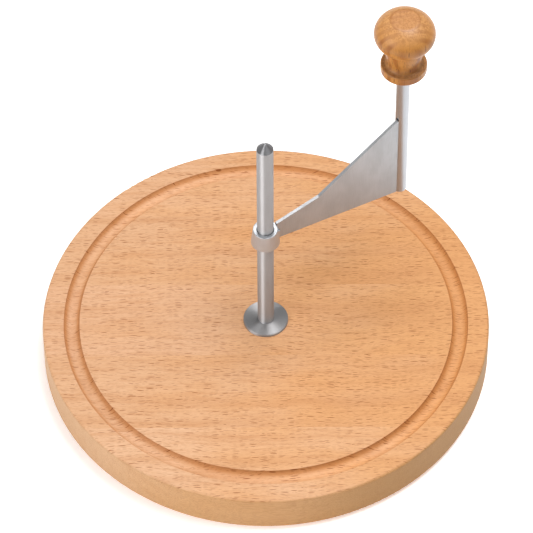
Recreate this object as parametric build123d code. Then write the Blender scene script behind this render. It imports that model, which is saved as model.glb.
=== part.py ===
from build123d import *
import math
import os

# Rotary cheese scraper: a round glued beech board with a central steel spindle, and a
# scraper (hub, upright blade, crank rod and turning knob) that slides down the spindle
# while it is cranked round. Millimetres, +Z up. The origin is the centre of the
# footprint, in the plane that the rubber feet stand on.

# Board
board_radius = 110.0
board_thickness = 21.0
board_top_round = 1.4
board_bottom_round = 1.2
stave_names = ["front", "middle_front", "centre", "middle_back", "back"]
stave_width = 2 * board_radius / len(stave_names)
groove_radius = 95.75
groove_cutter_radius = 4.0
groove_depth = 3.2

# Feet
foot_lift = 2.0
foot_radius = 7.5
foot_pocket_depth = 2.0
foot_pocket_radius = 8.0
foot_circle_radius = 80.0
foot_screw_recess_radius = 3.6
foot_screw_recess_depth = 2.2
foot_screw_head_radius = 3.0
foot_screw_head_height = 1.7
foot_screw_head_round = 0.7
foot_screw_shank_radius = 1.5
foot_screw_length = 12.0
foot_screw_point_radius = 0.1
foot_edge_round = 0.6
cross_slot_length = 2.8
cross_slot_width = 0.7
cross_slot_depth = 1.0

# Heights of the board
board_underside = foot_lift
board_top = foot_lift + board_thickness

# Spindle and what clamps it to the board
spindle_radius = 4.0
spindle_shoulder = board_top + 129.5
spindle_tip = board_top + 133.1
spindle_tip_flat_radius = 0.65
stud_radius = 3.0
stud_chamfer = 0.5
stud_end = board_underside + 0.3
seat_radius = 11.0
seat_thickness = 1.5
seat_chamfer = 0.4
clearance_hole_radius = 3.2
nut_pocket_radius = 10.0
nut_pocket_depth = 9.0
nut_across_flats = 10.0
nut_height = 5.0
nut_chamfer = 0.45
plain_washer_radius = 9.0
plain_washer_thickness = 1.6
spring_washer_radius = 5.9
spring_washer_thickness = 1.6
spring_washer_gap = 1.2
spring_washer_skew = 25.0

# Scraper hub and its liner
hub_bottom = board_top + 61.3
hub_height = 9.2
hub_top = hub_bottom + hub_height
hub_top_radius = 6.0
hub_bottom_radius = 7.0
hub_edge_round = 0.35
running_clearance = 0.05
liner_wall = 0.25
liner_inner_radius = spindle_radius + running_clearance
liner_outer_radius = liner_inner_radius + liner_wall
hub_bore_radius = liner_outer_radius + running_clearance
liner_setback = 0.3
axial_play = 0.1
weld_radius = 0.9
weld_reach = hub_top_radius + 0.5
weld_bottom = hub_bottom + 0.6
weld_top = hub_bottom + 6.0
weld_round = 0.4

# Crank rod: an upright bar at the outer end of the blade
crank_radius = 73.4
crank_azimuth = 27.1
rod_radius = 3.25
rod_end_round = 0.4
rod_x = crank_radius * math.cos(math.radians(crank_azimuth))
rod_y = crank_radius * math.sin(math.radians(crank_azimuth))

# Blade: a flat plate through the spindle's axis that passes just in front of the rod's axis.
# Reaches are distances from the spindle's axis along the plate.
rod_offset = 1.0
blade_azimuth = crank_azimuth - math.degrees(math.asin(rod_offset / crank_radius))
blade_thickness = 1.6
blade_inner = 5.75
slit_engagement = 2.0
blade_outer = crank_radius - rod_radius + slit_engagement
blade_start_height = hub_bottom + 10.7
blade_kink_reach = 28.4
blade_kink_height = board_top + 79.9
blade_corner_reach = crank_radius - rod_radius
blade_corner_height = board_top + 113.3
bevel_height = 3.0
edge_land = 0.15
bevel_margin = 0.5
slit_width = blade_thickness + 0.04
slit_top = blade_corner_height + 2.0

# Knob
knob_base = board_top + 148.0
knob_ring_radius = 11.0
knob_ring_height = 4.8
knob_edge_round = 0.8
knob_neck_radius = 9.1
knob_neck_height = knob_base + 12.6
knob_waist = board_top + 172.65
knob_radius = 14.5
knob_under_rise = 9.9
knob_over_rise = 10.6
knob_under_angle = math.radians(43)
knob_cove_fall = 0.12
plug_radius = 7.2
plug_flat_radius = 5.9
plug_depth = 4.4

# How the knob is held on the rod
rod_shoulder = knob_base + 20.0
rod_pin_radius = 2.5
rod_pin_length = 4.2
bush_radius = 4.5
bush_length = 24.0
bush_bore_radius = rod_radius + running_clearance
bush_neck_radius = rod_pin_radius + running_clearance
keeper_radius = 5.0
keeper_thickness = 1.0
keeper_clearance = 0.1
keeper_pocket_radius = 5.5
knob_screw_radius = 1.5
knob_screw_length = 12.0
knob_screw_end_gap = 1.0
knob_screw_head_radius = 2.8
knob_screw_head_height = 1.6
knob_screw_head_round = 0.6

UPWARD = (Align.CENTER, Align.CENTER, Align.MIN)


def rod_up(radius, bottom, top, x=0.0, y=0.0):
    """A plain upright cylinder between two heights."""
    return Pos(x, y, bottom) * Cylinder(radius, top - bottom, align=UPWARD)


def ring_up(outer, inner, bottom, top, x=0.0, y=0.0):
    """An upright tube or washer between two heights."""
    return rod_up(outer, bottom, top, x, y) - rod_up(inner, bottom, top, x, y)


def foot_places():
    """The centres of the four feet."""
    corners = []
    for turn in range(4):
        angle = math.radians(45 + 90 * turn)
        corners.append((foot_circle_radius * math.cos(angle), foot_circle_radius * math.sin(angle)))
    return corners


def board_outline():
    """Half of the board's turned section, with X as the radius."""
    cutter_height = board_top - groove_depth + groove_cutter_radius
    groove_half = math.sqrt(groove_cutter_radius**2 - (cutter_height - board_top) ** 2)
    inner = (groove_radius - groove_half, board_top)
    outer = (groove_radius + groove_half, board_top)
    floor = (groove_radius, board_top - groove_depth)
    lower_side = (board_radius, board_underside + board_bottom_round)
    upper_side = (board_radius, board_top - board_top_round)
    base = Line((0, board_underside), (board_radius - board_bottom_round, board_underside))
    lower_edge = RadiusArc(base @ 1, lower_side, -board_bottom_round)
    side = Line(lower_side, upper_side)
    upper_edge = RadiusArc(upper_side, (board_radius - board_top_round, board_top), -board_top_round)
    rim = Line(upper_edge @ 1, outer)
    groove = ThreePointArc(outer, floor, inner)
    plateau = Line(inner, (0, board_top))
    axis = Line((0, board_top), (0, board_underside))
    return make_face(Wire([base, lower_edge, side, upper_edge, rim, groove, plateau, axis]))


def whole_board():
    """The glued board before it is divided into its staves."""
    disc = revolve(Plane.XZ * board_outline(), Axis.Z)
    disc -= rod_up(clearance_hole_radius, board_underside, board_top)
    disc -= rod_up(nut_pocket_radius, board_underside, board_underside + nut_pocket_depth)
    for x, y in foot_places():
        disc -= rod_up(foot_pocket_radius, board_underside, board_underside + foot_pocket_depth, x, y)
        disc -= rod_up(foot_screw_shank_radius, board_underside, foot_screw_top(), x, y)
    return disc


def foot_screw_top():
    """The height of the point of each foot screw."""
    return foot_screw_recess_depth + foot_screw_length


def board_staves():
    """The five staves, each as wide as the next, with the grain along X."""
    board = whole_board()
    staves = {}
    for place, name in enumerate(stave_names):
        middle = -board_radius + stave_width * (place + 0.5)
        slab = Pos(0, middle, board_underside) * Box(
            3 * board_radius, stave_width, board_thickness, align=UPWARD
        )
        staves["board_stave_" + name] = board & slab
    return staves


def rubber_feet():
    """Four round feet, each recessed round its screw."""
    feet = []
    for x, y in foot_places():
        foot = rod_up(foot_radius, 0, board_underside + foot_pocket_depth, x, y)
        rims = foot.edges().filter_by(GeomType.CIRCLE).sort_by(Axis.Z)
        foot = fillet(rims[0], foot_edge_round)
        foot -= rod_up(foot_screw_recess_radius, 0, foot_screw_recess_depth, x, y)
        foot -= rod_up(foot_screw_shank_radius, 0, board_top, x, y)
        feet.append(foot)
    return Compound(feet)


def foot_screws():
    """Four pan-head wood screws with a cross recess."""
    screws = []
    for x, y in foot_places():
        under_head = foot_screw_recess_depth
        head_end = under_head - foot_screw_head_height
        head = rod_up(foot_screw_head_radius, head_end, under_head, x, y)
        rims = head.edges().filter_by(GeomType.CIRCLE).sort_by(Axis.Z)
        head = fillet(rims[0], foot_screw_head_round)
        for turn in (45, 135):
            slot = Box(cross_slot_length, cross_slot_width, cross_slot_depth, align=UPWARD)
            head -= Pos(x, y, head_end) * Rot(0, 0, turn) * slot
        shank_top = foot_screw_top() - foot_screw_shank_radius
        shank = rod_up(foot_screw_shank_radius, under_head, shank_top, x, y)
        point = Pos(x, y, shank_top) * Cone(
            foot_screw_shank_radius, foot_screw_point_radius, foot_screw_shank_radius, align=UPWARD
        )
        screws.append(head + shank + point)
    return Compound(screws)


def spindle():
    """The upright spindle: conical tip, plain shaft and a stud below its shoulder."""
    bottom = board_top + seat_thickness
    shaft = rod_up(spindle_radius, bottom, spindle_shoulder)
    cone = Pos(0, 0, spindle_shoulder) * Cone(
        spindle_radius, spindle_tip_flat_radius, spindle_tip - spindle_shoulder, align=UPWARD
    )
    stud = rod_up(stud_radius, stud_end, bottom)
    rims = stud.edges().filter_by(GeomType.CIRCLE).sort_by(Axis.Z)
    stud = chamfer(rims[0], stud_chamfer)
    return shaft + cone + stud


def spindle_seat():
    """The steel disc that spreads the spindle's shoulder over the board's top."""
    seat = ring_up(seat_radius, stud_radius + running_clearance, board_top, board_top + seat_thickness)
    outer = seat.edges().filter_by(GeomType.CIRCLE).sort_by(SortBy.RADIUS)[-2:]
    top_rim = outer.sort_by(Axis.Z)[-1]
    return chamfer(top_rim, seat_chamfer)


def nut_ceiling():
    """The height of the pocket's end, where the plain washer bears on the wood."""
    return board_underside + nut_pocket_depth


def plain_washer():
    """The wide washer in the pocket under the board."""
    top = nut_ceiling()
    return ring_up(plain_washer_radius, clearance_hole_radius, top - plain_washer_thickness, top)


def spring_washer():
    """The split washer that keeps the nut tight."""
    top = nut_ceiling() - plain_washer_thickness
    bottom = top - spring_washer_thickness
    coil = ring_up(spring_washer_radius, stud_radius + running_clearance, bottom, top)
    split = Box(
        2 * (spring_washer_radius - stud_radius), spring_washer_gap, spring_washer_thickness, align=UPWARD
    )
    split = Pos((spring_washer_radius + stud_radius) / 2, 0, bottom) * Rot(0, 0, spring_washer_skew) * split
    return coil - split


def spindle_nut():
    """The hexagon nut on the spindle's stud, with its corners turned off."""
    top = nut_ceiling() - plain_washer_thickness - spring_washer_thickness
    bottom = top - nut_height
    corner_radius = nut_across_flats / math.sqrt(3)
    prism = Pos(0, 0, bottom) * extrude(RegularPolygon(corner_radius, 6), nut_height)
    crown = rod_up(corner_radius, bottom, top)
    rims = crown.edges().filter_by(GeomType.CIRCLE)
    crown = chamfer(rims, nut_chamfer)
    return (prism & crown) - rod_up(stud_radius, bottom, top)


def on_blade_plane(shape):
    """Turns a shape drawn along +X to the blade's azimuth."""
    return Rot(0, 0, blade_azimuth) * shape


def blade_plate():
    """The blade as a flat plate, before its edge is ground."""
    outline = Polyline(
        (blade_inner, hub_bottom),
        (blade_outer, hub_bottom),
        (blade_outer, blade_corner_height),
        (blade_corner_reach, blade_corner_height),
        (blade_kink_reach, blade_kink_height),
        (blade_inner, blade_start_height),
        close=True,
    )
    plate = extrude(Plane.XZ * make_face(outline), blade_thickness / 2, both=True)
    return on_blade_plane(plate)


def scraper_blade():
    """The blade, ground to a bevel on the side that trails as the crank turns clockwise."""
    grind = Polyline(
        (-blade_thickness / 2 + edge_land, hub_bottom),
        (blade_thickness, hub_bottom),
        (blade_thickness, hub_bottom + 2 * bevel_height),
        (blade_thickness / 2, hub_bottom + bevel_height),
        close=True,
    )
    ground_from = hub_bottom_radius + bevel_margin
    ground_to = crank_radius - rod_radius - bevel_margin
    wedge = Pos(ground_from, 0, 0) * extrude(Plane.YZ * make_face(grind), ground_to - ground_from)
    return blade_plate() - on_blade_plane(wedge)


def scraper_hub():
    """The collar that runs on the spindle, wider at its foot and notched for the blade."""
    hub = Pos(0, 0, hub_bottom) * Cone(hub_bottom_radius, hub_top_radius, hub_height, align=UPWARD)
    rims = hub.edges().filter_by(GeomType.CIRCLE).sort_by(Axis.Z)
    hub = fillet(rims[-1], hub_edge_round)
    hub -= rod_up(hub_bore_radius, hub_bottom, hub_top)
    return hub - blade_plate()


def hub_liner():
    """The thin bearing liner between the hub and the spindle."""
    return ring_up(
        liner_outer_radius, liner_inner_radius, hub_bottom + liner_setback, hub_top - liner_setback
    )


def hub_weld_beads():
    """The two weld beads where the blade's faces meet the hub."""
    solid_hub = Pos(0, 0, hub_bottom) * Cone(
        hub_bottom_radius, hub_top_radius, hub_height, align=UPWARD
    )
    beads = []
    for side in (-1, 1):
        bead = rod_up(weld_radius, weld_bottom, weld_top, weld_reach, side * blade_thickness / 2)
        rims = bead.edges().filter_by(GeomType.CIRCLE)
        bead = fillet(rims, weld_round)
        beads.append(on_blade_plane(bead) - solid_hub - blade_plate())
    return Compound([solid for bead in beads for solid in bead.solids()])


def rod_slit():
    """The slit in the rod that takes the blade, open at the rod's lower end."""
    straight_top = slit_top - slit_width / 2
    reach = crank_radius - rod_radius - slit_engagement
    depth = blade_outer - reach
    slit = Pos(reach, 0, hub_bottom) * Box(
        depth, slit_width, straight_top - hub_bottom, align=(Align.MIN, Align.CENTER, Align.MIN)
    )
    end = Pos(reach + depth / 2, 0, straight_top) * Rot(0, 90, 0) * Cylinder(slit_width / 2, depth)
    return on_blade_plane(slit + end)


def crank_rod():
    """The crank's upright bar, slit for the blade and turned down inside the knob."""
    bar = rod_up(rod_radius, hub_bottom, rod_shoulder, rod_x, rod_y)
    rims = bar.edges().filter_by(GeomType.CIRCLE).sort_by(Axis.Z)
    bar = fillet(rims[0], rod_end_round)
    pin_top = rod_shoulder + rod_pin_length
    bar += rod_up(rod_pin_radius, rod_shoulder, pin_top, rod_x, rod_y)
    bar -= rod_up(knob_screw_radius, pin_top - knob_screw_length, pin_top, rod_x, rod_y)
    return bar - rod_slit()


def crown_angle():
    """The angle on the knob's upper ellipse where the plug's rim lies."""
    return math.acos(plug_radius / knob_radius)


def knob_top():
    """The height of the plug's rim, where the knob's crown ends."""
    return knob_waist + knob_over_rise * math.sin(crown_angle())


def knob_outline():
    """Half of the knob's turned section, with X as the radius."""
    ring_top = knob_base + knob_ring_height
    under_reach = knob_radius * math.cos(knob_under_angle)
    under_height = knob_waist - knob_under_rise * math.sin(knob_under_angle)
    under_slope = (
        knob_radius * math.sin(knob_under_angle),
        knob_under_rise * math.cos(knob_under_angle),
    )
    base = Line((0, knob_base), (knob_ring_radius - knob_edge_round, knob_base))
    corner = RadiusArc(base @ 1, (knob_ring_radius, knob_base + knob_edge_round), -knob_edge_round)
    side = Line(corner @ 1, (knob_ring_radius, ring_top - knob_edge_round))
    edge = RadiusArc(side @ 1, (knob_ring_radius - knob_edge_round, ring_top), -knob_edge_round)
    cove = Spline(
        edge @ 1,
        (knob_neck_radius, knob_neck_height),
        (under_reach, under_height),
        tangents=[(-1, knob_cove_fall), under_slope],
    )
    centre = (0, knob_waist)
    under_turn = math.degrees(knob_under_angle)
    over_turn = math.degrees(crown_angle())
    under = EllipticalCenterArc(
        centre, knob_radius, knob_under_rise, start_angle=-under_turn, arc_size=under_turn
    )
    over = EllipticalCenterArc(centre, knob_radius, knob_over_rise, start_angle=0, arc_size=over_turn)
    top = Line((plug_radius, knob_top()), (0, knob_top()))
    axis = Line((0, knob_top()), (0, knob_base))
    return make_face(Wire([base, corner, side, edge, cove, under, over, top, axis]))


def knob():
    """The turned beech knob, bored for its bush, keeper and plug."""
    body = revolve(Plane.XZ * knob_outline(), Axis.Z)
    bush_top = knob_base + bush_length
    body -= rod_up(bush_radius, knob_base, bush_top)
    body -= rod_up(keeper_pocket_radius, bush_top, knob_top())
    body -= rod_up(plug_radius, knob_top() - plug_depth, knob_top())
    return Pos(rod_x, rod_y, 0) * body


def knob_plug():
    """The wooden plug in the crown: flat on top, its rim rounded into the slope of the knob."""
    rim = knob_top()
    slope = math.atan2(knob_over_rise * math.cos(crown_angle()), knob_radius * math.sin(crown_angle()))
    crown = (plug_radius - plug_flat_radius) * math.tan(slope / 2)
    floor = Line((0, rim - plug_depth), (plug_radius, rim - plug_depth))
    side = Line(floor @ 1, (plug_radius, rim))
    rounding = TangentArc((plug_flat_radius, rim + crown), (plug_radius, rim), tangent=(1, 0))
    top = Line((0, rim + crown), (plug_flat_radius, rim + crown))
    axis = Line((0, rim - plug_depth), (0, rim + crown))
    section = make_face(Wire([floor, side, rounding, top, axis]))
    return Pos(rod_x, rod_y, 0) * revolve(Plane.XZ * section, Axis.Z)


def knob_bush():
    """The bush that turns on the rod, narrowed at the top to rest on the rod's shoulder."""
    top = knob_base + bush_length
    bush = rod_up(bush_radius, knob_base, top)
    bush -= rod_up(bush_bore_radius, knob_base, rod_shoulder + axial_play)
    bush -= rod_up(bush_neck_radius, rod_shoulder, top)
    return Pos(rod_x, rod_y, 0) * bush


def knob_keeper():
    """The washer on the rod's end that keeps the knob from lifting off."""
    bottom = rod_shoulder + rod_pin_length
    hole_radius = knob_screw_radius + keeper_clearance
    return ring_up(keeper_radius, hole_radius, bottom, bottom + keeper_thickness, rod_x, rod_y)


def knob_screw():
    """The pan-head screw in the rod's end."""
    rod_end = rod_shoulder + rod_pin_length
    under_head = rod_end + keeper_thickness
    head = rod_up(knob_screw_head_radius, under_head, under_head + knob_screw_head_height, rod_x, rod_y)
    rims = head.edges().filter_by(GeomType.CIRCLE).sort_by(Axis.Z)
    head = fillet(rims[-1], knob_screw_head_round)
    shank_end = rod_end - knob_screw_length + knob_screw_end_gap
    shank = rod_up(knob_screw_radius, shank_end, under_head, rod_x, rod_y)
    return head + shank


def all_parts():
    """Every sub-part by the name of its node."""
    parts = board_staves()
    parts["rubber_feet"] = rubber_feet()
    parts["foot_screws"] = foot_screws()
    parts["spindle"] = spindle()
    parts["spindle_seat"] = spindle_seat()
    parts["plain_washer"] = plain_washer()
    parts["spring_washer"] = spring_washer()
    parts["spindle_nut"] = spindle_nut()
    parts["hub_liner"] = hub_liner()
    parts["scraper_hub"] = scraper_hub()
    parts["scraper_blade"] = scraper_blade()
    parts["hub_weld_beads"] = hub_weld_beads()
    parts["crank_rod"] = crank_rod()
    parts["knob"] = knob()
    parts["knob_bush"] = knob_bush()
    parts["knob_keeper"] = knob_keeper()
    parts["knob_screw"] = knob_screw()
    parts["knob_plug"] = knob_plug()
    return parts


os.makedirs("parts", exist_ok=True)
for node, shape in all_parts().items():
    export_step(shape, "parts/" + node + ".step")
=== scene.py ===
import math

import bpy
from mathutils import Matrix, Vector


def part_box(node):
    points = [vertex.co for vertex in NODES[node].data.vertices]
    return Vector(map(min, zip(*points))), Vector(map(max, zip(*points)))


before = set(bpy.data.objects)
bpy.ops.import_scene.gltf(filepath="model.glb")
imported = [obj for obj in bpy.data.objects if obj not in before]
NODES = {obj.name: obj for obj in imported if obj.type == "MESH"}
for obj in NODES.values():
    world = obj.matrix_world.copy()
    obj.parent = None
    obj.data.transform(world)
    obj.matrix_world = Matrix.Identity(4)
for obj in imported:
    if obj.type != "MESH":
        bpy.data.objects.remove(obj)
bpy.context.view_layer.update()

MM = 0.001
TAU = 2 * math.pi
FLOOR_GLOW = 0.40
CONE_HEIGHT = 3.6 * MM
GROOVE_INSET = 5.0 * MM
SEED_ALONG = 37.0
SEED_ACROSS = 11.0
# length over which the board's top is painted darker towards +X, as painted shade
FALLOFF_SHADE_LENGTH = 240.0
ROUND_STREAK = 0.0
UPRIGHT_STREAK = 0.25

# ---------------------------------------------------------------- places read from the frame

board_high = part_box("board_stave_centre")[1]
BOARD_RADIUS = board_high.x
BOARD_TOP = board_high.z
STAVES = ["front", "middle_front", "centre", "middle_back", "back"]
SPINDLE_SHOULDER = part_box("spindle")[1].z - CONE_HEIGHT
knob_low, knob_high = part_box("knob")
plug_low, plug_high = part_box("knob_plug")
PLUG_RADIUS = (plug_high.x - plug_low.x) / 2
KNOB_AXIS = Vector(((knob_low.x + knob_high.x) / 2, (knob_low.y + knob_high.y) / 2, 0))


# ---------------------------------------------------------------- node graphs

class Graph:
    """A material's node tree, with short calls for the nodes that the materials share."""

    def __init__(self, name):
        self.material = bpy.data.materials.new(name)
        self.material.use_nodes = True
        self.tree = self.material.node_tree
        self.tree.nodes.clear()
        self.output = self.tree.nodes.new("ShaderNodeOutputMaterial")
        self.coords = self.tree.nodes.new("ShaderNodeTexCoord")

    def plug(self, socket, value):
        """Links a socket to an input, or sets the input's own value."""
        if isinstance(value, bpy.types.NodeSocket):
            self.tree.links.new(value, socket)
        else:
            socket.default_value = value

    def math(self, operation, first, second=0.0):
        node = self.tree.nodes.new("ShaderNodeMath")
        node.operation = operation
        for socket, value in zip(node.inputs, (first, second)):
            self.plug(socket, value)
        return node.outputs[0]

    def vector(self, operation, first, second=(0, 0, 0)):
        node = self.tree.nodes.new("ShaderNodeVectorMath")
        node.operation = operation
        self.plug(node.inputs[0], first)
        self.plug(node.inputs[1], second)
        is_number = operation in ("LENGTH", "DOT_PRODUCT")
        return node.outputs["Value" if is_number else "Vector"]

    def split(self, vector):
        node = self.tree.nodes.new("ShaderNodeSeparateXYZ")
        self.plug(node.inputs[0], vector)
        return node.outputs[0], node.outputs[1], node.outputs[2]

    def join(self, x, y, z):
        node = self.tree.nodes.new("ShaderNodeCombineXYZ")
        for socket, value in zip(node.inputs, (x, y, z)):
            self.plug(socket, value)
        return node.outputs[0]

    def noise(self, vector, scale=1.0, detail=2.0, roughness=0.5):
        """Noise that is 0.5 on average."""
        node = self.tree.nodes.new("ShaderNodeTexNoise")
        self.plug(node.inputs["Vector"], vector)
        node.inputs["Scale"].default_value = scale
        node.inputs["Detail"].default_value = detail
        node.inputs["Roughness"].default_value = roughness
        return node.outputs["Fac"]

    def dashes(self, vector, size, fade=0.55):
        """Scattered ellipses, one in each cell: 1 inside, 0 outside.

        The vector counts cells, and the size is half the ellipse in cells, along each axis.
        Each ellipse has its own scale and strength.
        """
        node = self.tree.nodes.new("ShaderNodeTexVoronoi")
        node.feature = "F1"
        self.plug(node.inputs["Vector"], vector)
        node.inputs["Scale"].default_value = 1.0
        node.inputs["Randomness"].default_value = 1.0
        chance = self.split(node.outputs["Color"])
        offset = self.vector("SUBTRACT", vector, node.outputs["Position"])
        distance = self.vector("LENGTH", self.vector("DIVIDE", offset, size))
        reach = self.span(chance[0], 0.0, 1.0, 0.45, 1.25)
        inside = self.span(distance, reach, self.math("MULTIPLY", reach, fade))
        return self.math("MULTIPLY", inside, self.span(chance[1], 0.0, 1.0, 0.25, 1.0))

    def span(self, value, low, high, to_low=0.0, to_high=1.0):
        """Moves a value smoothly from one range to another."""
        node = self.tree.nodes.new("ShaderNodeMapRange")
        node.interpolation_type = "SMOOTHSTEP"
        self.plug(node.inputs["Value"], value)
        for name, number in (("From Min", low), ("From Max", high), ("To Min", to_low), ("To Max", to_high)):
            self.plug(node.inputs[name], number)
        return node.outputs["Result"]

    def blend(self, factor, first, second, mode="MIX"):
        node = self.tree.nodes.new("ShaderNodeMix")
        node.data_type = "RGBA"
        node.blend_type = mode
        self.plug(node.inputs["Factor"], factor)
        self.plug(node.inputs["A"], first)
        self.plug(node.inputs["B"], second)
        return node.outputs["Result"]

    def bump(self, height, distance):
        """Bump from a height between 0 and 1, that many metres deep."""
        node = self.tree.nodes.new("ShaderNodeBump")
        node.inputs["Strength"].default_value = 1.0
        node.inputs["Distance"].default_value = distance
        self.plug(node.inputs["Height"], height)
        return node.outputs["Normal"]

    def shader(self, color, roughness, normal=None, **constants):
        """The surface. Constants such as Metallic or IOR are set on the shader's own sockets."""
        node = self.tree.nodes.new("ShaderNodeBsdfPrincipled")
        self.plug(node.inputs["Base Color"], color)
        self.plug(node.inputs["Roughness"], roughness)
        if normal is not None:
            self.plug(node.inputs["Normal"], normal)
        for name, value in constants.items():
            node.inputs[name.replace("_", " ")].default_value = value
        if "Anisotropic" in constants:
            around = self.tree.nodes.new("ShaderNodeTangent")
            around.direction_type = "RADIAL"
            around.axis = "Z"
            self.plug(node.inputs["Tangent"], around.outputs[0])
        self.tree.links.new(node.outputs[0], self.output.inputs["Surface"])
        return self.material

    def millimetres(self, origin=(0, 0, 0)):
        """Places on the piece, in millimetres from a point in the object's frame."""
        offset = self.vector("SUBTRACT", self.coords.outputs["Object"], tuple(origin))
        node = self.tree.nodes.new("ShaderNodeVectorMath")
        node.operation = "SCALE"
        self.plug(node.inputs[0], offset)
        node.inputs["Scale"].default_value = 1 / MM
        return node.outputs["Vector"]


def srgb(red, green, blue):
    """A display colour from 0 to 255, as the linear colour that a shader takes."""
    linear = []
    for level in (red, green, blue):
        level = level / 255
        linear.append(level / 12.92 if level <= 0.04045 else ((level + 0.055) / 1.055) ** 2.4)
    return (*linear, 1.0)


# ---------------------------------------------------------------- wood

def beech(name, origin, along_z, seed, tones, pith, ring_strength):
    """Steamed beech as a solid wood: growth rings, fibres and the short dark ray flecks.

    The grain runs along X, or along Z with along_z. The tones are the pale wood, the warm wood,
    the late wood and the flecks. The pith is where the tree's middle lies, and the ring's width.
    Returns the graph and its layers by name.
    """
    pale, warm, late, dark = tones
    g = Graph(name)
    place = g.millimetres(origin)
    x, y, z = g.split(place)
    along, across, depth = (z, x, y) if along_z else (x, y, z)
    shifted = g.math("ADD", along, seed * SEED_ALONG)
    across = g.math("ADD", across, seed * SEED_ACROSS)
    seeded = g.join(shifted, across, depth)

    # the fibres wander a little across the board
    slow = g.math("SUBTRACT", g.noise(g.vector("MULTIPLY", seeded, (0.012, 0.02, 0.02)), detail=1.0), 0.5)
    quick = g.math("SUBTRACT", g.noise(g.vector("MULTIPLY", seeded, (0.07, 0.10, 0.12)), detail=2.0), 0.5)
    drift = g.math("ADD", g.math("MULTIPLY", slow, 9.0), g.math("MULTIPLY", quick, 3.0))
    across = g.math("ADD", across, drift)
    wood = g.join(shifted, across, depth)

    # growth rings round a pith that lies outside the piece
    from_pith = g.vector("SUBTRACT", g.join(0.0, across, depth), (0.0, pith[0] + seed * SEED_ACROSS, pith[1]))
    radius = g.vector("LENGTH", from_pith)
    ring = g.math("SINE", g.math("MULTIPLY", radius, TAU / pith[2]))
    ring_fade = g.noise(g.vector("MULTIPLY", wood, (0.01, 0.08, 0.08)), detail=2.0)
    rings = g.math("MULTIPLY", g.span(ring, -0.6, 1.0), g.span(ring_fade, 0.35, 0.7))

    fibre = g.noise(g.vector("MULTIPLY", wood, (0.16, 3.2, 3.2)), detail=4.0, roughness=0.6)
    streak = g.noise(g.vector("MULTIPLY", wood, (0.035, 0.6, 0.3)), detail=4.0, roughness=0.6)
    patch = g.noise(g.vector("MULTIPLY", wood, (0.018, 0.05, 0.05)), detail=2.0)

    # ray flecks in two sizes; the normal says where end grain shows instead
    grain = (0, 0, 1) if along_z else (1, 0, 0)
    facing = g.math("ABSOLUTE", g.vector("DOT_PRODUCT", g.coords.outputs["Normal"], grain))
    end_grain = g.span(facing, 0.35, 0.95)
    long_flecks = g.dashes(g.vector("MULTIPLY", wood, (1 / 4.6, 1 / 1.2, 1 / 7.0)), (0.44, 0.155, 0.9))
    fine_flecks = g.dashes(g.vector("MULTIPLY", wood, (1 / 2.8, 1 / 0.7, 1 / 5.0)), (0.42, 0.18, 0.9))
    flecks = g.math("MAXIMUM", long_flecks, g.math("MULTIPLY", fine_flecks, 0.45))

    # the tone drifts at random between pale and warm; on level grain it also turns warmer and darker towards
    # +X, which is painted shade for light that falls off there
    tone_and_falloff_shade = patch if along_z else g.math("ADD", patch, g.math("MULTIPLY", along, 1 / FALLOFF_SHADE_LENGTH))
    color = g.blend(g.span(tone_and_falloff_shade, 0.1, 0.9), pale, warm)
    color = g.blend(g.math("MULTIPLY", rings, ring_strength), color, late)
    color = g.blend(g.span(streak, 0.42, 0.8, 0.0, 0.50), color, late)
    color = g.blend(g.span(fibre, 0.35, 0.8, 0.0, 0.40), color, late)
    height = g.math("SUBTRACT", fibre, g.math("MULTIPLY", flecks, 0.7))
    layers = {
        "color": color, "flecks": flecks, "end_grain": end_grain, "facing": facing,
        "fibre": fibre, "dark": dark, "place": place, "normal": g.bump(height, 0.05 * MM),
    }
    return g, layers


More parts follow.
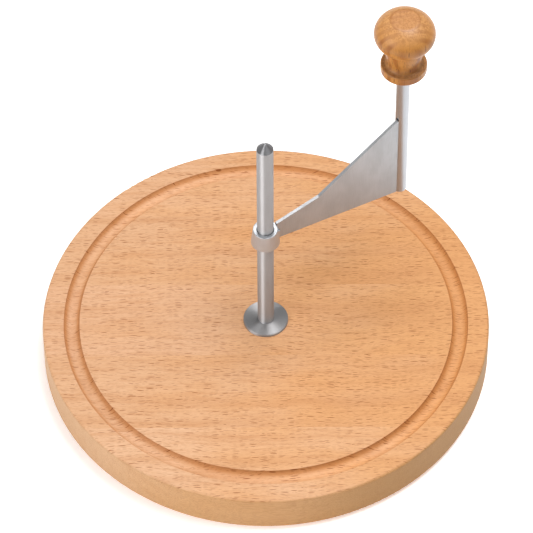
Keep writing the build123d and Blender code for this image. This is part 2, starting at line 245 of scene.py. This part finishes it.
def board_wood(place, name):
    """The oiled beech of one stave. Each stave comes from another plank."""
    tones = [
        (srgb(224, 180, 143), srgb(220, 164, 112)),
        (srgb(219, 173, 134), srgb(218, 160, 106)),
        (srgb(220, 174, 137), srgb(219, 162, 108)),
        (srgb(218, 172, 133), srgb(217, 159, 105)),
        (srgb(221, 175, 137), srgb(219, 163, 110)),
    ]
    pith = (-14.0 + 9.0 * place, -95.0 + 22.0 * place, 6.5)
    tones = (*tones[place], srgb(192, 132, 84), srgb(152, 90, 46))
    g, wood = beech("beech_" + name, (0, 0, 0), False, place + 1.0, tones, pith, 0.30)

    # the flecks show on faces that look up or down; the turned side is plain and a little darker
    level = g.math("ABSOLUTE", g.split(g.coords.outputs["Normal"])[2])
    turned = g.span(level, 0.95, 0.15)
    x, y, z = g.split(wood["place"])
    reach = g.vector("LENGTH", g.join(x, y, 0.0))
    in_groove = g.math("LESS_THAN", reach, (BOARD_RADIUS - GROOVE_INSET) / MM)
    side = g.math("MULTIPLY", turned, g.math("SUBTRACT", 1.0, in_groove))
    # painted shade: the groove's sloping walls are painted darker and more orange, in place of the shade that
    # falls in the groove
    painted_groove_shade = g.math("MULTIPLY", g.span(level, 0.99, 0.62), in_groove)
    long_side = g.math("MULTIPLY", side, g.math("SUBTRACT", 1.0, wood["end_grain"]))
    end_side = g.math("MULTIPLY", side, wood["end_grain"])
    color = wood["color"]
    color = g.blend(g.math("MULTIPLY", long_side, 0.7), color, srgb(196, 147, 92))
    color = g.blend(g.math("MULTIPLY", end_side, 0.7), color, srgb(194, 154, 112))
    # painted shade on the groove walls
    color = g.blend(g.math("MULTIPLY", painted_groove_shade, 0.62), color, srgb(194, 128, 68))
    # the turned side is darker towards +X, in place of light that falls off there
    away_from_light = g.math("MULTIPLY", side, g.span(x, 0.0, 70.0))
    color = g.blend(away_from_light, color, (0.75, 0.73, 0.58, 1.0), "MULTIPLY")
    fibres_on_side = g.math("MULTIPLY", side, g.span(wood["fibre"], 0.42, 0.72, 0.0, 0.45))
    color = g.blend(fibres_on_side, color, srgb(152, 104, 60))
    shown = g.span(side, 0.0, 1.0, 1.0, 0.12)
    color = g.blend(g.math("MULTIPLY", wood["flecks"], shown), color, wood["dark"])
    rough = g.math("ADD", g.math("MULTIPLY", wood["fibre"], 0.14), 0.5)
    return g.shader(color, rough, wood["normal"], Specular_IOR_Level=0.25)


def knob_wood(name, seed, crown_tone):
    """The lacquered beech of the knob and its plug, with the grain upright."""
    tones = (srgb(206, 144, 78), srgb(198, 134, 62), srgb(165, 100, 40), srgb(104, 60, 22))
    pith = (-7.0, 42.0, 3.3)
    g, wood = beech(name, KNOB_AXIS, True, seed, tones, pith, 1.6)
    speckle = g.noise(wood["place"], 0.9, detail=3.0, roughness=0.75)
    color = g.blend(g.math("MULTIPLY", wood["end_grain"], 0.5), wood["color"], crown_tone)
    speckled = g.math("MULTIPLY", wood["end_grain"], g.span(speckle, 0.42, 0.62, 0.0, 0.7))
    color = g.blend(speckled, color, srgb(168, 112, 66))
    shown = g.span(wood["facing"], 0.05, 0.6, 0.95, 0.12)
    color = g.blend(g.math("MULTIPLY", wood["flecks"], shown), color, wood["dark"])
    x, y, z = g.split(wood["place"])
    reach = g.vector("LENGTH", g.join(x, y, 0.0))
    rim = PLUG_RADIUS / MM
    joint = g.math("MULTIPLY", g.span(reach, rim - 1.1, rim - 0.3), wood["end_grain"])
    inside = g.math("LESS_THAN", reach, rim + 0.15)
    color = g.blend(g.math("MULTIPLY", g.math("MULTIPLY", joint, inside), 0.3), color, srgb(150, 96, 52))
    rough = g.math("ADD", g.math("MULTIPLY", wood["fibre"], 0.12), 0.32)
    return g.shader(
        color, rough, wood["normal"], Specular_IOR_Level=0.26, Coat_Weight=0.12, Coat_Roughness=0.28
    )


# ---------------------------------------------------------------- metal, rubber, plastic

def turned_steel(name, origin, tone, worn, roughness, anisotropy, turn_of_streak, cone_foot=None):
    """Stainless bar with fine marks round its upright axis and soft handling smears.

    The streak of light runs round the axis, or along it with a turn of 0.25. Metal above
    cone_foot is smoother, and its colour is painted darker as a painted dark reflection on the spindle's
    cone.
    """
    g = Graph(name)
    place = g.millimetres(origin)
    x, y, z = g.split(place)
    turn = g.math("ARCTAN2", y, x)
    around = g.join(g.math("MULTIPLY", turn, 0.8), 0.0, g.math("MULTIPLY", z, 9.0))
    marks = g.noise(around, detail=5.0, roughness=0.7)
    smear = g.noise(g.vector("MULTIPLY", place, (0.25, 0.25, 0.06)), detail=4.0, roughness=0.6)
    color = g.blend(g.span(smear, 0.3, 0.75, 0.0, 0.35), tone, worn)
    color = g.blend(g.span(marks, 0.4, 0.8, 0.0, 0.35), color, worn)
    rough = g.math("ADD", g.math("MULTIPLY", marks, 0.10), g.math("MULTIPLY", smear, 0.05))
    rough = g.math("ADD", rough, roughness)
    if cone_foot is not None:
        # painted reflection: the cone's colour is darkened to stand in for the dark reflections it shows; it
        # is also made smoother
        on_cone = g.math("GREATER_THAN", z, cone_foot / MM)
        color = g.blend(g.math("MULTIPLY", on_cone, 0.75), color, srgb(96, 96, 99))
        rough = g.math("SUBTRACT", rough, g.math("MULTIPLY", on_cone, 0.14))
    normal = g.bump(marks, 0.006 * MM)
    return g.shader(
        color, rough, normal, Metallic=0.65, Anisotropic=anisotropy, Anisotropic_Rotation=turn_of_streak
    )


def ground_steel(name, tone, worn, roughness):
    """Flat ground plate, with fine upright grinding lines."""
    g = Graph(name)
    place = g.millimetres()
    lines = g.noise(g.vector("MULTIPLY", place, (7.0, 7.0, 0.12)), detail=4.0, roughness=0.7)
    cloud = g.noise(g.vector("MULTIPLY", place, (0.12, 0.12, 0.08)), detail=3.0)
    color = g.blend(g.span(cloud, 0.3, 0.7, 0.0, 0.3), tone, worn)
    color = g.blend(g.span(lines, 0.4, 0.8, 0.0, 0.45), color, worn)
    rough = g.math("ADD", g.math("MULTIPLY", lines, 0.12), g.math("MULTIPLY", cloud, 0.04))
    rough = g.math("ADD", rough, roughness)
    return g.shader(color, rough, g.bump(lines, 0.006 * MM), Metallic=0.72)


def fastener_steel():
    """Plain stainless fasteners, with small dents and a dull film."""
    g = Graph("fastener_steel")
    place = g.millimetres()
    grit = g.noise(place, 2.2, detail=5.0, roughness=0.7)
    film = g.noise(place, 0.35, detail=2.0)
    color = g.blend(g.span(film, 0.35, 0.7), srgb(178, 178, 180), srgb(150, 148, 146))
    rough = g.math("ADD", g.math("MULTIPLY", grit, 0.2), 0.26)
    return g.shader(color, rough, g.bump(grit, 0.02 * MM), Metallic=1.0)


def foot_rubber():
    """Moulded black rubber with a fine pebble and pale dust."""
    g = Graph("foot_rubber")
    place = g.millimetres()
    pebble = g.noise(place, 3.0, detail=4.0, roughness=0.65)
    dust = g.noise(place, 0.4, detail=4.0, roughness=0.6)
    color = g.blend(g.span(dust, 0.5, 0.85, 0.0, 0.3), srgb(34, 33, 33), srgb(120, 112, 104))
    rough = g.math("ADD", g.math("MULTIPLY", pebble, 0.2), 0.62)
    return g.shader(color, rough, g.bump(pebble, 0.05 * MM))


def liner_plastic():
    """Dark bearing plastic, slightly polished by the spindle."""
    g = Graph("liner_plastic")
    place = g.millimetres()
    grain = g.noise(place, 4.0, detail=3.0)
    color = g.blend(g.span(grain, 0.3, 0.7), srgb(42, 41, 42), srgb(60, 58, 57))
    return g.shader(color, g.math("ADD", g.math("MULTIPLY", grain, 0.2), 0.35), g.bump(grain, 0.01 * MM))


def turned_brass():
    """Turned brass with tool marks and a light tarnish."""
    g = Graph("turned_brass")
    place = g.millimetres(KNOB_AXIS)
    z = g.split(place)[2]
    marks = g.noise(g.join(0.0, 0.0, g.math("MULTIPLY", z, 6.0)), detail=4.0)
    tarnish = g.noise(place, 0.5, detail=4.0)
    color = g.blend(g.span(tarnish, 0.4, 0.75), srgb(206, 168, 98), srgb(160, 120, 66))
    rough = g.math("ADD", g.math("MULTIPLY", marks, 0.15), 0.22)
    return g.shader(color, rough, g.bump(marks, 0.01 * MM), Metallic=1.0)


def dress(material, *names):
    """Gives CAD nodes a material in place of their plain one."""
    for name in names:
        data = NODES[name].data
        data.materials.clear()
        data.materials.append(material)


def dress_all():
    for place, name in enumerate(STAVES):
        dress(board_wood(place, name), "board_stave_" + name)
    dress(knob_wood("beech_knob", 3.0, srgb(216, 168, 118)), "knob")
    dress(knob_wood("beech_plug", 9.0, srgb(198, 150, 108)), "knob_plug")
    shaft = (srgb(190, 189, 190), srgb(170, 168, 168), 0.42, 0.95, UPRIGHT_STREAK)
    dress(turned_steel("spindle_steel", (0, 0, 0), *shaft, SPINDLE_SHOULDER), "spindle", "spindle_seat")
    hub = (srgb(196, 200, 205), srgb(172, 172, 174), 0.26, 0.75, ROUND_STREAK)
    dress(turned_steel("hub_steel", (0, 0, 0), *hub), "scraper_hub", "hub_weld_beads")
    rod = (srgb(180, 183, 188), srgb(162, 162, 164), 0.22, 0.75, ROUND_STREAK)
    dress(turned_steel("rod_steel", KNOB_AXIS, *rod), "crank_rod")
    dress(ground_steel("blade_steel", srgb(182, 184, 187), srgb(146, 146, 147), 0.36), "scraper_blade")
    dress(
        fastener_steel(),
        "foot_screws", "plain_washer", "spring_washer", "spindle_nut", "knob_keeper", "knob_screw",
    )
    dress(foot_rubber(), "rubber_feet")
    dress(liner_plastic(), "hub_liner")
    dress(turned_brass(), "knob_bush")


# ---------------------------------------------------------------- floor, light and camera

def floor():
    """A plain white floor under the feet, which glows a little so that shadows stay faint."""
    bpy.ops.mesh.primitive_plane_add(size=8.0, location=(0, 0, 0))
    plane = bpy.context.object
    plane.name = "floor"
    g = Graph("floor_white")
    tint = g.noise(g.coords.outputs["Object"], 3.0, detail=2.0)
    color = g.blend(g.span(tint, 0.3, 0.7), srgb(250, 250, 250), srgb(252, 252, 252))
    plane.data.materials.append(g.shader(
        color, 0.7, Specular_IOR_Level=0.1, Emission_Color=(1.0, 1.0, 1.0, 1.0), Emission_Strength=FLOOR_GLOW
    ))


def softbox(name, place, target, width, height, power, lit=None, unlit=None):
    """A soft rectangular light that points at a place.

    It lights every piece, or only the nodes named in lit, or all but the nodes named in unlit.
    """
    light = bpy.data.lights.new(name, "AREA")
    light.shape = "RECTANGLE"
    light.size = width
    light.size_y = height
    light.energy = power
    holder = bpy.data.objects.new(name, light)
    holder.location = place
    holder.rotation_euler = (Vector(target) - Vector(place)).to_track_quat("-Z", "Y").to_euler()
    bpy.context.scene.collection.objects.link(holder)
    if lit or unlit:
        group = bpy.data.collections.new(name + "_nodes")
        for node in lit or unlit:
            group.objects.link(NODES[node])
        if unlit:
            for member in group.collection_objects:
                member.light_linking.link_state = "EXCLUDE"
        holder.light_linking.receiver_collection = group


def lights():
    """Soft lights for the whole object, and smaller ones that reach only the pieces they are named for.

    The small ones place the highlights on the spindle, hub, blade edge, knob and rod.
    """
    middle = (0, 0, BOARD_TOP + 0.04)
    crank = (KNOB_AXIS.x, KNOB_AXIS.y, 0.12)
    softbox("overhead", (0.24, 0.16, 1.2), middle, 0.8, 0.6, 10.8)
    steel = ["spindle", "spindle_seat", "scraper_hub", "hub_weld_beads", "scraper_blade", "crank_rod"]
    softbox("front_left", (-1.0, -0.68, 0.6), middle, 0.9, 0.9, 9.4, unlit=["crank_rod", "spindle"])
    softbox("board_top", (0.30, 0.0, 1.15), middle, 0.8, 0.8, 5.6, unlit=steel + ["knob", "knob_plug"])
    softbox("spindle_left", (-0.71, -0.97, 0.7), middle, 0.8, 0.9, 14.0, lit=["spindle"])
    softbox("rims", (0.0, 0.75, 1.0), middle, 0.4, 0.4, 2.2, lit=["spindle", "scraper_hub"])
    softbox("blade_edge", (-0.6, 0.48, 1.0), middle, 0.5, 0.5, 4.2, lit=["scraper_blade"])
    softbox("knob_shine", (0.26, 0.19, 1.25), crank, 0.42, 0.26, 3.6, lit=["knob", "knob_plug"])
    softbox("rod_right", (1.03, -0.17, 0.6), crank, 0.3, 0.9, 10.0, lit=["crank_rod"])
    world = bpy.data.worlds.new("studio")
    world.use_nodes = True
    world.node_tree.nodes["Background"].inputs["Color"].default_value = (1.0, 1.0, 1.0, 1.0)
    world.node_tree.nodes["Background"].inputs["Strength"].default_value = 0.11
    bpy.context.scene.world = world


# The camera looks down at the board from the front, turned a little about its line of sight.
CAMERA_ELEVATION = math.radians(51.3)
CAMERA_ROLL = math.radians(-0.3)
CAMERA_DISTANCE = 2.0
CAMERA_AIM_RIGHT = 0.00032
CAMERA_AIM_ABOVE = 0.02612
CAMERA_LENS = 274.06


def camera():
    """The camera, aimed beside the middle of the board's top."""
    sight = Vector((0, math.cos(CAMERA_ELEVATION), -math.sin(CAMERA_ELEVATION)))
    level_up = Vector((0, math.sin(CAMERA_ELEVATION), math.cos(CAMERA_ELEVATION)))
    level_right = Vector((1, 0, 0))
    right = math.cos(CAMERA_ROLL) * level_right + math.sin(CAMERA_ROLL) * level_up
    up = math.cos(CAMERA_ROLL) * level_up - math.sin(CAMERA_ROLL) * level_right
    aim = Vector((0, 0, BOARD_TOP)) + right * CAMERA_AIM_RIGHT + up * CAMERA_AIM_ABOVE
    data = bpy.data.cameras.new("camera")
    data.lens = CAMERA_LENS
    data.sensor_width = 36.0
    data.clip_end = 50.0
    holder = bpy.data.objects.new("camera", data)
    holder.location = aim - sight * CAMERA_DISTANCE
    holder.rotation_euler = Matrix((right, up, -sight)).transposed().to_euler()
    bpy.context.scene.collection.objects.link(holder)
    bpy.context.scene.camera = holder


dress_all()
floor()
lights()
camera()
bpy.context.scene.view_settings.view_transform = "Standard"
